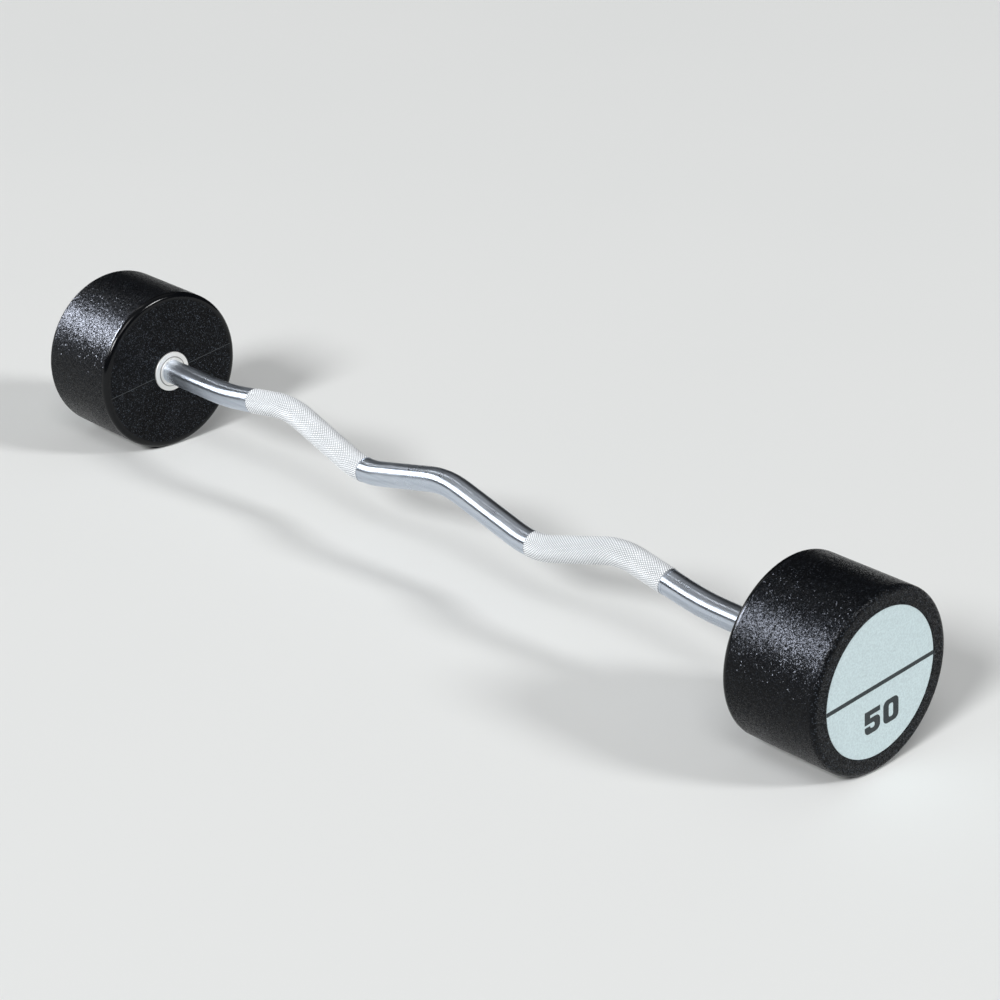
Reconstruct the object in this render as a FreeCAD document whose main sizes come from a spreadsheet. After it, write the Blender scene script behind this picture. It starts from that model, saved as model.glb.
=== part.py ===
import FreeCAD, Part
import math
import os

import Sketcher
from FreeCAD import Vector

# A fixed-weight curl barbell: one bent bar with a urethane-jacketed steel head bolted on each end.
# X runs along the bar, whose bends lie in the XZ plane. The origin is midway between the heads on their axis.
# A depth is measured outwards from a head's inner face.

doc = FreeCAD.newDocument("CurlBarbell")

# Driving dimensions in millimetres
SIZES = {
    "bar_diameter": 28,
    "clear_span": 980,
    "bend_radius": 105,
    "outer_bend_radius": 320,
    "outer_bend_x": 379.5,
    "outer_peak_x": 264.5,
    "outer_peak_rise": 19.6,
    "inner_valley_x": 138,
    "inner_valley_drop": 20.5,
    "centre_peak_rise": 13,
    "grip_end_x": 333,
    "knurl_rise": 0.25,
    "head_diameter": 192,
    "head_length": 115,
    "inner_edge_radius": 6,
    "outer_edge_radius": 6,
    "jacket_wall": 4,
    "jacket_inner_wall": 4,
    "jacket_outer_wall": 6,
    "core_chamfer": 2,
    "label_diameter": 154,
    "label_thickness": 1.5,
    "label_edge_break": 0.3,
    "label_sink": 0.5,
    "label_clearance": 0.3,
    "label_pad_thickness": 0.8,
    "label_pad_inset": 2,
    "collar_flange_diameter": 48,
    "collar_proud": 2,
    "collar_lip_diameter": 35,
    "collar_lip_proud": 1.2,
    "collar_edge_break": 0.5,
    "collar_hub_diameter": 38,
    "collar_hub_length": 12,
    "collar_stop_wall": 6,
    "fit_clearance": 0.1,
    "spigot_diameter": 24,
    "spigot_chamfer": 1.5,
    "spigot_setback": 1,
    "counterbore_diameter": 56,
    "counterbore_depth": 24,
    "clamp_washer_diameter": 54,
    "clamp_washer_thickness": 6,
    "clamp_washer_hole": 13,
    "lock_washer_diameter": 21,
    "lock_washer_hole": 12.6,
    "lock_washer_thickness": 2.5,
    "lock_washer_slit": 1.5,
    "bolt_diameter": 12,
    "bolt_length": 45,
    "bolt_head_flats": 18,
    "bolt_head_height": 7.5,
    "bolt_tip_chamfer": 1.2,
    "tapped_hole_depth": 40,
    "tapped_hole_tip": 3.5,
    "key_width": 8,
    "key_height": 7,
    "key_length": 24,
    "key_setback": 4,
    "keyway_depth": 4,
    "cover_wall": 3,
    "cover_roof_thickness": 3,
}

# The most of a head's outer rim, beside the label, that its rounding may take
SHARES = {"rim_fillet_share": 0.8}

# Sizes that follow from the driving ones
DERIVED = {
    "bar_radius": "bar_diameter / 2",
    "grip_diameter": "bar_diameter + 2 * knurl_rise",
    "half_span": "clear_span / 2",
    "head_radius": "head_diameter / 2",
    "core_radius": "head_radius - jacket_wall",
    "core_rim_radius": "core_radius - core_chamfer",
    "core_end": "head_length - jacket_outer_wall",
    "core_start_corner": "jacket_inner_wall + core_chamfer",
    "core_end_corner": "core_end - core_chamfer",
    "counterbore_radius": "counterbore_diameter / 2",
    "bolt_seat": "core_end - counterbore_depth",
    "spigot_radius": "spigot_diameter / 2",
    "spigot_bore_radius": "spigot_radius + fit_clearance",
    "bar_bore_radius": "bar_radius + fit_clearance",
    "flange_radius": "collar_flange_diameter / 2",
    "flange_hole_radius": "flange_radius + fit_clearance",
    "lip_radius": "collar_lip_diameter / 2",
    "hub_radius": "collar_hub_diameter / 2",
    "hub_seat_radius": "hub_radius + fit_clearance",
    "hub_seat_end": "jacket_inner_wall + collar_hub_length",
    "collar_reach": "collar_proud + collar_lip_proud",
    "flange_back": "collar_reach + jacket_inner_wall",
    "collar_length": "flange_back + collar_hub_length",
    "collar_stop": "collar_length - collar_stop_wall",
    "bar_shoulder_x": "half_span + hub_seat_end - collar_stop_wall",
    "spigot_end_x": "half_span + bolt_seat - spigot_setback",
    "spigot_chamfer_x": "spigot_end_x - spigot_chamfer",
    "spigot_rim_radius": "spigot_radius - spigot_chamfer",
    "bolt_radius": "bolt_diameter / 2",
    "tapped_hole_radius": "bolt_radius + fit_clearance",
    "tapped_hole_x": "spigot_end_x - tapped_hole_depth",
    "tapped_hole_tip_x": "tapped_hole_x - tapped_hole_tip",
    "label_floor": "head_length - label_sink - label_thickness - label_pad_thickness",
    "label_seat": "label_floor + label_pad_thickness",
    "label_radius": "label_diameter / 2",
    "label_recess_radius": "label_radius + label_clearance",
    "label_pad_diameter": "label_diameter - 2 * label_pad_inset",
    "rim_width": "head_radius - label_recess_radius",
    "outer_edge_fillet": "min(outer_edge_radius; rim_fillet_share * rim_width)",
    "lock_seat": "bolt_seat + clamp_washer_thickness",
    "bolt_head_seat": "lock_seat + lock_washer_thickness",
    "bolt_head_radius": "bolt_head_flats / sqrt(3)",
    "cover_radius": "counterbore_radius - fit_clearance",
    "cover_inner_radius": "cover_radius - cover_wall",
    "cover_roof": "label_floor - cover_roof_thickness",
    "key_floor": "spigot_radius - keyway_depth",
    "key_start": "hub_seat_end + key_setback",
    "key_end": "key_start + key_length",
    "key_half_width": "key_width / 2",
    "key_first_centre": "key_start + key_half_width",
    "key_last_centre": "key_end - key_half_width",
    "keyway_half_width": "key_half_width + fit_clearance",
    "keyway_top": "key_floor + key_height + fit_clearance",
    "keyway_first_x": "half_span + key_first_centre",
    "keyway_last_x": "half_span + key_last_centre",
}

# Sketcher numbers an edge's points from 1 up and the axes from -1 down; an axis starts at the origin
START, END, CENTRE = range(1, 4)
H_AXIS, V_AXIS = range(-1, -3, -1)
ORIGIN = START
FULL_TURN = 360
HEX_SIDES = 6

sheet = doc.addObject("Spreadsheet::Sheet", "Sizes")
rows = {**SIZES, **SHARES, **{name: f"={formula}" for name, formula in DERIVED.items()}}
for row, (name, content) in enumerate(rows.items(), start=1):
    sheet.set(f"A{row}", name)
    sheet.set(f"B{row}", str(content))
    sheet.setAlias(f"B{row}", name)
doc.recompute()


def size(name):
    """The sheet's value under a name, negative under a name with a minus, and zero where no name is given."""
    if not name:
        return 0
    value = float(getattr(sheet, name.lstrip("-")))
    return -value if name.startswith("-") else value


def constrain(sketch, *terms):
    """Add a constraint without a value."""
    sketch.addConstraint(Sketcher.Constraint(*terms))


def bind(sketch, *terms):
    """Add a dimension whose value, the last term, is a name in the sheet."""
    *places, name = terms
    index = sketch.addConstraint(Sketcher.Constraint(*places, size(name)))
    sketch.setExpression(f"Constraints[{index}]", f"Sizes.{name}")


def place_point(sketch, edge, end, across, up):
    """Hold a point at two sheet sizes from the sketch's origin, or on an axis where a size is zero."""
    for kind, axis, name in (("DistanceX", V_AXIS, across), ("DistanceY", H_AXIS, up)):
        if not name:
            constrain(sketch, "PointOnObject", edge, end, axis)
        elif name.startswith("-"):
            bind(sketch, kind, edge, end, H_AXIS, ORIGIN, name.lstrip("-"))
        else:
            bind(sketch, kind, H_AXIS, ORIGIN, edge, end, name)


def origin_plane(body, plane):
    """One of the body's own origin planes, such as XZ."""
    return next(feature for feature in body.Origin.OriginFeatures if feature.Role == f"{plane}_Plane")


def new_sketch(body, plane, name, lift=0):
    """A sketch on an origin plane, lifted off it by a sheet size if one is given."""
    sketch = body.newObject("Sketcher::SketchObject", name)
    sketch.AttachmentSupport = [(origin_plane(body, plane), "")]
    sketch.MapMode = "FlatFace"
    if lift:
        sketch.setExpression("AttachmentOffset.Base.z", f"Sizes.{lift}")
    return sketch


def add_outline(sketch, corners):
    """Straight edges through the corners, in order and closed; a corner is a pair of sheet names."""
    points = [Vector(size(across), size(up), 0) for across, up in corners]
    edges = sketch.addGeometry([Part.LineSegment(a, b) for a, b in zip(points, points[1:] + points[:1])])
    for edge, following in zip(edges, edges[1:] + edges[:1]):
        constrain(sketch, "Coincident", edge, END, following, START)
    for edge, (across, up) in zip(edges, corners):
        place_point(sketch, edge, START, across, up)


def add_circle(sketch, diameter):
    """A circle round the sketch's origin."""
    circle = sketch.addGeometry(Part.Circle(Vector(), Vector(0, 0, 1), size(diameter) / 2))
    constrain(sketch, "Coincident", circle, CENTRE, H_AXIS, ORIGIN)
    bind(sketch, "Diameter", circle, diameter)


def add_slot(sketch, first_centre, last_centre, half_width):
    """A round-ended slot along the sketch's X axis."""
    first = Vector(size(first_centre), 0, 0)
    last = Vector(size(last_centre), 0, 0)
    ahead = Vector(size(half_width), 0, 0)
    aside = Vector(0, size(half_width), 0)
    far_end, near_end, top, bottom = sketch.addGeometry([
        Part.Arc(last - aside, last + ahead, last + aside),
        Part.Arc(first + aside, first - ahead, first - aside),
        Part.LineSegment(last + aside, first + aside),
        Part.LineSegment(first - aside, last - aside),
    ])
    for edge, following in ((far_end, top), (top, near_end), (near_end, bottom), (bottom, far_end)):
        constrain(sketch, "Tangent", edge, END, following, START)
    place_point(sketch, far_end, CENTRE, last_centre, 0)
    place_point(sketch, near_end, CENTRE, first_centre, 0)
    bind(sketch, "Radius", far_end, half_width)


def add_feature(body, kind, profile, **properties):
    """A PartDesign feature made from a sketch."""
    feature = body.newObject(f"PartDesign::{kind}", kind)
    feature.Profile = profile
    for name, value in properties.items():
        setattr(feature, name, value)
    return feature


def turn(body, corners):
    """Revolve an outline of axial and radial sheet sizes round the body's X axis."""
    sketch = new_sketch(body, "XZ", "turned_profile")
    add_outline(sketch, corners)
    return add_feature(body, "Revolution", sketch, ReferenceAxis=(sketch, ["H_Axis"]), Angle=FULL_TURN)


def pad(body, sketch, length, **properties):
    """Pad a sketch by a sheet size."""
    feature = add_feature(body, "Pad", sketch, **properties)
    feature.setExpression("Length", f"Sizes.{length}")
    return feature


def pad_ring(body, diameter, hole, thickness):
    """A flat ring on the body's YZ plane."""
    sketch = new_sketch(body, "YZ", "ring")
    add_circle(sketch, diameter)
    add_circle(sketch, hole)
    return pad(body, sketch, thickness)


def dress_rim(body, kind, value, place, radius):
    """Fillet or chamfer the round rim at an axial place and a radius; all three sizes are sheet names."""
    doc.recompute()
    base = body.Tip
    near = Part.Precision.approximation()
    rims = [
        f"Edge{index}"
        for index, edge in enumerate(base.Shape.Edges, start=1)
        if isinstance(edge.Curve, Part.Circle)
        and abs(edge.Curve.Center.x - size(place)) < near
        and abs(edge.Curve.Radius - size(radius)) < near
    ]
    feature = body.newObject(f"PartDesign::{kind}", kind)
    feature.Base = (base, rims)
    feature.setExpression({"Fillet": "Radius", "Chamfer": "Size"}[kind], f"Sizes.{value}")
    return feature


def new_body(label):
    """An empty body that names one piece."""
    body = doc.addObject("PartDesign::Body", label)
    body.Label = label
    return body


def head_body(side, piece, depth="0"):
    """A body with its origin on a head's axis, at a depth formula, and its X axis pointing outwards."""
    body = new_body(f"{side}_{piece}")
    outward = {"left": -1, "right": 1}[side]
    body.Placement.Rotation = FreeCAD.Rotation(Vector(1, 0, 0), Vector(outward, 0, 0))
    body.setExpression("Placement.Base.x", f"{outward} * (Sizes.half_span + {depth})")
    return body


def bend_points(before, corner, after, radius):
    """Where a bend leaves the run before its corner and joins the run after, and its centre."""
    run_in = (corner - before).normalize()
    run_out = (after - corner).normalize()
    half_turn = run_in.getAngle(run_out) / 2
    inward = (run_out - run_in).normalize()
    tangent_length = radius * math.tan(half_turn)
    centre = corner + inward * (radius / math.cos(half_turn))
    return corner - run_in * tangent_length, corner + run_out * tangent_length, centre


def add_bend(sketch, start, end, centre):
    """An arc along the bar; returns the edge and the numbers of its first and last end."""
    radius = (start - centre).Length
    middle = centre + ((start + end) / 2 - centre).normalize() * radius
    edge = sketch.addGeometry(Part.Arc(start, middle, end))
    turns_left = (start - centre).cross(end - centre).z > 0
    return (edge, START, END) if turns_left else (edge, END, START)


def add_run(sketch, start, end):
    """A straight run along the bar, in the form that add_bend returns."""
    return sketch.addGeometry(Part.LineSegment(start, end)), START, END


def add_corner(sketch, across, up, *runs):
    """Hold the point where two runs would meet at its sheet sizes, and the runs on it."""
    corner = sketch.addGeometry(Part.Point(Vector(size(across), size(up), 0)), True)
    place_point(sketch, corner, START, across, up)
    for run, _, _ in runs:
        constrain(sketch, "PointOnObject", corner, START, run)


def draw_half_path(sketch):
    """The bar's centre line from mid-span to its shoulder; returns the edge names, all and the grip's.

    Straight runs meet in bends of one radius, and in a wider bend where the line reaches the heads' axis. The
    valley's bend is cut at its lowest point, where the grip starts, and the last sloping run where it ends.
    """
    radius = size("bend_radius")
    centre_peak = Vector(0, size("centre_peak_rise"), 0)
    valley = Vector(size("inner_valley_x"), size("-inner_valley_drop"), 0)
    mirrored_valley = Vector(-valley.x, valley.y, 0)
    outer_peak = Vector(size("outer_peak_x"), size("outer_peak_rise"), 0)
    outer_bend = Vector(size("outer_bend_x"), 0, 0)
    shoulder = Vector(size("bar_shoulder_x"), 0, 0)

    _, apex_end, apex_centre = bend_points(mirrored_valley, centre_peak, valley, radius)
    valley_start, valley_end, valley_centre = bend_points(centre_peak, valley, outer_peak, radius)
    peak_start, peak_end, peak_centre = bend_points(valley, outer_peak, outer_bend, radius)
    bend_start, bend_end, bend_centre = bend_points(
        outer_peak, outer_bend, shoulder, size("outer_bend_radius"))
    apex = apex_centre + Vector(0, radius, 0)
    valley_low = valley_centre - Vector(0, radius, 0)
    slope_share = (size("grip_end_x") - outer_peak.x) / (outer_bend.x - outer_peak.x)
    grip_end = outer_peak + (outer_bend - outer_peak) * slope_share

    apex_bend = add_bend(sketch, apex, apex_end, apex_centre)
    inner_run = add_run(sketch, apex_end, valley_start)
    valley_bend = add_bend(sketch, valley_start, valley_low, valley_centre)
    grip_start_bend = add_bend(sketch, valley_low, valley_end, valley_centre)
    grip_run = add_run(sketch, valley_end, peak_start)
    peak_bend = add_bend(sketch, peak_start, peak_end, peak_centre)
    grip_end_run = add_run(sketch, peak_end, grip_end)
    outer_run = add_run(sketch, grip_end, bend_start)
    outer_bend_arc = add_bend(sketch, bend_start, bend_end, bend_centre)
    end_run = add_run(sketch, bend_end, shoulder)

    grip = [grip_start_bend, grip_run, peak_bend, grip_end_run]
    chain = [apex_bend, inner_run, valley_bend, *grip, outer_run, outer_bend_arc, end_run]
    for (edge, _, last), (following, first, _) in zip(chain, chain[1:]):
        constrain(sketch, "Tangent", edge, last, following, first)
    for bend, _, _ in (apex_bend, valley_bend, grip_start_bend, peak_bend):
        bind(sketch, "Radius", bend, "bend_radius")
    bind(sketch, "Radius", outer_bend_arc[0], "outer_bend_radius")

    add_corner(sketch, 0, "centre_peak_rise", inner_run)
    add_corner(sketch, "inner_valley_x", "-inner_valley_drop", inner_run, grip_run)
    add_corner(sketch, "outer_peak_x", "outer_peak_rise", grip_run, grip_end_run)
    add_corner(sketch, "outer_bend_x", 0, outer_run)
    apex_edge, apex_first, _ = apex_bend
    constrain(sketch, "PointOnObject", apex_edge, CENTRE, V_AXIS)
    constrain(sketch, "PointOnObject", apex_edge, apex_first, V_AXIS)
    valley_edge, _, valley_last = valley_bend
    constrain(sketch, "Vertical", valley_edge, CENTRE, valley_edge, valley_last)
    bind(sketch, "DistanceX", H_AXIS, ORIGIN, grip_end_run[0], END, "grip_end_x")
    constrain(sketch, "PointOnObject", end_run[0], START, H_AXIS)
    place_point(sketch, end_run[0], END, "bar_shoulder_x", 0)
    return [[f"Edge{edge + 1}" for edge, _, _ in edges] for edges in (chain, grip)]


def sweep(body, path, edges, diameter):
    """Sweep a circle along edges of a path, standing square on the first of them."""
    section = body.newObject("Sketcher::SketchObject", "round_section")
    section.AttachmentSupport = [(path, edges[0])]
    section.MapMode = "NormalToEdge"
    add_circle(section, diameter)
    return add_feature(body, "AdditivePipe", section, Spine=(path, edges))


def make_curl_bar():
    """One bent bar: half is swept, with a raised band for the grip and a turned, keyed end, and mirrored."""
    body = new_body("curl_bar")
    path = new_sketch(body, "XZ", "bent_path")
    whole, grip = draw_half_path(path)
    doc.recompute()
    sweep(body, path, whole, "bar_diameter")
    sweep(body, path, grip, "grip_diameter")
    turn(body, [
        ("bar_shoulder_x", 0),
        ("bar_shoulder_x", "spigot_radius"),
        ("spigot_chamfer_x", "spigot_radius"),
        ("spigot_end_x", "spigot_rim_radius"),
        ("spigot_end_x", "tapped_hole_radius"),
        ("tapped_hole_x", "tapped_hole_radius"),
        ("tapped_hole_tip_x", 0),
    ])
    seat = new_sketch(body, "XY", "key_seat", lift="key_floor")
    add_slot(seat, "keyway_first_x", "keyway_last_x", "keyway_half_width")
    add_feature(body, "Pocket", seat, Type="ThroughAll", Reversed=True)
    mirror = body.newObject("PartDesign::Mirrored", "Mirrored")
    mirror.TransformMode = "Whole shape"
    mirror.MirrorPlane = (origin_plane(body, "YZ"), [""])
    body.Tip = mirror
    return body


def make_inner_collar(side):
    """The turned ring that the bar's shoulder pulls against the core; its flange and lip show."""
    body = head_body(side, "inner_collar", depth="-Sizes.collar_reach")
    turn(body, [
        (0, "bar_bore_radius"),
        (0, "lip_radius"),
        ("collar_lip_proud", "lip_radius"),
        ("collar_lip_proud", "flange_radius"),
        ("flange_back", "flange_radius"),
        ("flange_back", "hub_radius"),
        ("collar_length", "hub_radius"),
        ("collar_length", "spigot_bore_radius"),
        ("collar_stop", "spigot_bore_radius"),
        ("collar_stop", "bar_bore_radius"),
    ])
    dress_rim(body, "Fillet", "collar_edge_break", "collar_lip_proud", "flange_radius")
    dress_rim(body, "Chamfer", "collar_edge_break", 0, "lip_radius")
    return body


def make_head_core(side):
    """The steel weight: stepped bore, bolt counterbore and a broached keyway."""
    body = head_body(side, "head_core")
    turn(body, [
        ("jacket_inner_wall", "hub_seat_radius"),
        ("jacket_inner_wall", "core_rim_radius"),
        ("core_start_corner", "core_radius"),
        ("core_end_corner", "core_radius"),
        ("core_end", "core_rim_radius"),
        ("core_end", "counterbore_radius"),
        ("bolt_seat", "counterbore_radius"),
        ("bolt_seat", "spigot_bore_radius"),
        ("hub_seat_end", "spigot_bore_radius"),
        ("hub_seat_end", "hub_seat_radius"),
    ])
    keyway = new_sketch(body, "YZ", "keyway")
    add_outline(keyway, [
        ("-keyway_half_width", 0),
        ("keyway_half_width", 0),
        ("keyway_half_width", "keyway_top"),
        ("-keyway_half_width", "keyway_top"),
    ])
    add_feature(body, "Pocket", keyway, Type="ThroughAll", Reversed=True)
    return body


def make_head_jacket(side):
    """The urethane cast round the core: rounded edges, a hole for the collar and a recess for the label."""
    body = head_body(side, "head_jacket")
    turn(body, [
        (0, "flange_hole_radius"),
        (0, "head_radius"),
        ("head_length", "head_radius"),
        ("head_length", "label_recess_radius"),
        ("label_floor", "label_recess_radius"),
        ("label_floor", "counterbore_radius"),
        ("core_end", "counterbore_radius"),
        ("core_end", "core_rim_radius"),
        ("core_end_corner", "core_radius"),
        ("core_start_corner", "core_radius"),
        ("jacket_inner_wall", "core_rim_radius"),
        ("jacket_inner_wall", "flange_hole_radius"),
    ])
    dress_rim(body, "Fillet", "inner_edge_radius", 0, "head_radius")
    dress_rim(body, "Fillet", "outer_edge_fillet", "head_length", "head_radius")
    return body


def make_drive_key(side):
    """A round-ended parallel key between the bar's end and the core."""
    body = head_body(side, "drive_key")
    sketch = new_sketch(body, "XY", "key", lift="key_floor")
    add_slot(sketch, "key_first_centre", "key_last_centre", "key_half_width")
    pad(body, sketch, "key_height")
    return body


def make_clamp_washer(side):
    """The thick washer on the floor of the counterbore."""
    body = head_body(side, "clamp_washer", depth="Sizes.bolt_seat")
    pad_ring(body, "clamp_washer_diameter", "clamp_washer_hole", "clamp_washer_thickness")
    return body


def make_lock_washer(side):
    """A split spring washer, pressed flat."""
    body = head_body(side, "lock_washer", depth="Sizes.lock_seat")
    pad_ring(body, "lock_washer_diameter", "lock_washer_hole", "lock_washer_thickness")
    slit = new_sketch(body, "YZ", "slit")
    add_outline(slit, [
        (0, 0),
        ("lock_washer_slit", 0),
        ("lock_washer_slit", "lock_washer_diameter"),
        (0, "lock_washer_diameter"),
    ])
    add_feature(body, "Pocket", slit, Type="ThroughAll", Reversed=True)
    return body


def make_end_bolt(side):
    """The hexagon bolt that holds the head on the bar; its thread is left plain."""
    body = head_body(side, "end_bolt", depth="Sizes.bolt_head_seat")
    head = body.newObject("PartDesign::AdditivePrism", "hexagon_head")
    head.AttachmentSupport = [(origin_plane(body, "YZ"), "")]
    head.MapMode = "FlatFace"
    head.Polygon = HEX_SIDES
    head.setExpression("Circumradius", "Sizes.bolt_head_radius")
    head.setExpression("Height", "Sizes.bolt_head_height")
    shank = new_sketch(body, "YZ", "shank")
    add_circle(shank, "bolt_diameter")
    pad(body, shank, "bolt_length", Reversed=True)
    dress_rim(body, "Chamfer", "bolt_tip_chamfer", "-bolt_length", "bolt_radius")
    return body


def make_bolt_cover(side):
    """A cup over the bolt that stands on the clamp washer and backs the label."""
    body = head_body(side, "bolt_cover")
    turn(body, [
        ("lock_seat", "cover_inner_radius"),
        ("lock_seat", "cover_radius"),
        ("label_floor", "cover_radius"),
        ("label_floor", 0),
        ("cover_roof", 0),
        ("cover_roof", "cover_inner_radius"),
    ])
    return body


def make_label_pad(side):
    """The adhesive pad that holds the label in its recess."""
    body = head_body(side, "label_pad", depth="Sizes.label_floor")
    sketch = new_sketch(body, "YZ", "pad_circle")
    add_circle(sketch, "label_pad_diameter")
    pad(body, sketch, "label_pad_thickness")
    return body


def make_label_disc(side):
    """The printed disc on the outer face."""
    body = head_body(side, "label_disc", depth="Sizes.label_seat")
    sketch = new_sketch(body, "YZ", "label_circle")
    add_circle(sketch, "label_diameter")
    pad(body, sketch, "label_thickness")
    dress_rim(body, "Fillet", "label_edge_break", "label_thickness", "label_radius")
    return body


HEAD_PIECES = [
    make_inner_collar,
    make_head_core,
    make_head_jacket,
    make_drive_key,
    make_clamp_washer,
    make_lock_washer,
    make_end_bolt,
    make_bolt_cover,
    make_label_pad,
    make_label_disc,
]

pieces = [make_curl_bar()]
pieces += [make(side) for side in ("left", "right") for make in HEAD_PIECES]
doc.recompute()

failed = [item.Label for item in doc.Objects if {"Invalid", "Error"} & set(item.State)]
bad = [piece.Label for piece in pieces if piece.Shape.isNull() or not piece.Shape.isValid()]
if failed or bad:
    raise RuntimeError(f"failed objects {failed}, bad shapes {bad}")

os.makedirs("parts", exist_ok=True)
for piece in pieces:
    piece.Shape.exportStep(f"parts/{piece.Label}.step")
    box = piece.Shape.BoundBox
    print(f"{piece.Label}: {len(piece.Shape.Solids)} solid, volume {piece.Shape.Volume:.1f} mm3, "
          f"x {box.XMin:.2f} to {box.XMax:.2f}")
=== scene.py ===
# %% [markdown]
# # Dressing a curl barbell
# A maker has already built this barbell as separate pieces at their real size: a bent steel bar, two
# weight heads, and the collars, bolts and washers that hold them together. Here those pieces get their
# finishes, and the work too fine for the construction model is added: the knurled grips, the printing on
# the end labels and the seams that the moulds left. Every length is in metres. X runs along the bar and Z
# points up.

# %% Load the frame
import math

import bmesh
import bpy
from mathutils import Matrix, Vector


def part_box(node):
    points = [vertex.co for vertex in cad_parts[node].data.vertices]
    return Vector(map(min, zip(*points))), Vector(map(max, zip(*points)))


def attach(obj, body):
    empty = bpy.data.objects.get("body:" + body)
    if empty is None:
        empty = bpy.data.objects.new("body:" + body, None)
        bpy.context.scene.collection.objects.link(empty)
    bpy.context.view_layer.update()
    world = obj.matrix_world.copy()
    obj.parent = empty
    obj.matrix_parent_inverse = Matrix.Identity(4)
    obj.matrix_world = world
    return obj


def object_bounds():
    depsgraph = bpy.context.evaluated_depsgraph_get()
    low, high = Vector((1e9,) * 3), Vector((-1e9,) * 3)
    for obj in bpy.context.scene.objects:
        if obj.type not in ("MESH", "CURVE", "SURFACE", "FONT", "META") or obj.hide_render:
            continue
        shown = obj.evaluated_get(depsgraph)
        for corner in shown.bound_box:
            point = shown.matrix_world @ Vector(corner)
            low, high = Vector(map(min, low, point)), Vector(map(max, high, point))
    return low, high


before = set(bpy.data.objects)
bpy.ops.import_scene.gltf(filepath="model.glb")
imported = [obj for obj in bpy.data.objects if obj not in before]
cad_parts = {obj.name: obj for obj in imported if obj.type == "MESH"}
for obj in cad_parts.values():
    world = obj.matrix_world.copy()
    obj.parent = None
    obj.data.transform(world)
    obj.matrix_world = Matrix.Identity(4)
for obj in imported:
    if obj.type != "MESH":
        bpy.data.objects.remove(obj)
cad_low, cad_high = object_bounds()
floor_height = cad_low.z
print(f"{len(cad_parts)} pieces, box {cad_high - cad_low}, floor at {floor_height:.4f}")

# %% [markdown]
# ## Camera
# The barbell is seen from beyond its right head, from above and with a long lens. A long lens stands far
# back, so both heads come out nearly the same size. Blender's camera looks down its own -Z axis, so it is
# first tipped up by a quarter turn, then down by the pitch, then turned about Z.

# %% Camera
CAMERA_PLACE = Vector((2.0612, -1.8474, 1.2184))
CAMERA_TURN = math.radians(46.94)
CAMERA_DIP = math.radians(23.93)
CAMERA_LENS_MM = 101.1

camera_data = bpy.data.cameras.new("camera")
camera_data.lens = CAMERA_LENS_MM
camera = bpy.data.objects.new("camera", camera_data)
camera.location = CAMERA_PLACE
camera.rotation_euler = (math.pi / 2 - CAMERA_DIP, 0, CAMERA_TURN)
bpy.context.scene.collection.objects.link(camera)
bpy.context.scene.camera = camera
print(f"camera {CAMERA_PLACE.length:.2f} m from the middle of the bar")

# %% [markdown]
# ## Node helpers
# A material in Blender is a small graph of nodes. These four helpers keep the graphs below short: one
# places a node and fills its inputs, and the others stand for the three nodes that come up most: a sum, a
# smooth step from one value to another, and a ramp of colours.

# %% Node helpers
def put(tree, kind, inputs=None, **settings):
    """Place a node; an input takes a value, or a link where the value is another node's socket."""
    node = tree.nodes.new(f"ShaderNode{kind}")
    for name, value in settings.items():
        setattr(node, name, value)
    for name, value in (inputs or {}).items():
        if isinstance(value, bpy.types.NodeSocket):
            tree.links.new(value, node.inputs[name])
        else:
            node.inputs[name].default_value = value
    return node


def reckon(tree, operation, first, second=0.0):
    """The result of a Math node."""
    return put(tree, "Math", {0: first, 1: second}, operation=operation).outputs["Value"]


def step(tree, value, start, end, low=0.0, high=1.0):
    """A value that goes smoothly from low to high as another goes from start to end."""
    inputs = {"Value": value, "From Min": start, "From Max": end, "To Min": low, "To Max": high}
    return put(tree, "MapRange", inputs, interpolation_type="SMOOTHSTEP").outputs["Result"]


def shade(tree, factor, dark, light):
    """A colour between two, chosen by a factor."""
    ramp = put(tree, "ValToRGB", {"Fac": factor})
    for element, colour in zip(ramp.color_ramp.elements, (dark, light)):
        element.color = (*colour, 1)
    return ramp.outputs["Color"]


print("helpers: put, reckon, step, shade")

# %% [markdown]
# ## Shared effects
# Grain, lathe marks and the traces of handling turn up on several finishes. Each is built once as a node
# group with named inputs and outputs, so that every material places it with its own values. Object
# coordinates go in as a vector, and because all the pieces sit at the origin, one metre in the pattern is
# one metre on the part.

# %% Group helper
def new_group(name, numbers, results):
    """An empty node group with a vector input, number inputs and results of given kinds."""
    tree = bpy.data.node_groups.new(name, "ShaderNodeTree")
    tree.interface.new_socket("Vector", in_out="INPUT", socket_type="NodeSocketVector")
    for label, default in numbers.items():
        socket = tree.interface.new_socket(label, in_out="INPUT", socket_type="NodeSocketFloat")
        socket.default_value = default
    for label, kind in results.items():
        tree.interface.new_socket(label, in_out="OUTPUT", socket_type=f"NodeSocket{kind}")
    return tree, tree.nodes.new("NodeGroupInput").outputs, tree.nodes.new("NodeGroupOutput").inputs


def use_group(tree, name, **inputs):
    """Place a node group with given inputs and return its outputs."""
    return put(tree, "Group", inputs, node_tree=bpy.data.node_groups[name]).outputs


print("helpers: new_group, use_group")

# %% [markdown]
# Moulded urethane copies the texture of its mould, which sparks have pitted into tiny facets that each
# face their own way. Black urethane shows almost nothing but reflections, so a facet that happens to face
# a lamp is a bright speck and its neighbours stay dark. A bump map blurs that, because its slopes run
# into each other. Here every cell of a Voronoi pattern tilts the normal by its own random colour instead.
# Colours far from the middle grey count for more, so a few facets tilt a lot and specks turn up far from
# the highlight too.

# %% Group: moulded grain
MIDDLE_GREY = (0.5, 0.5, 0.5)
# The square of a pure colour's distance from the middle grey
FURTHEST_COLOUR = 0.75
LEAST_LEAN, MOST_LEAN = 0.4, 2.2


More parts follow.
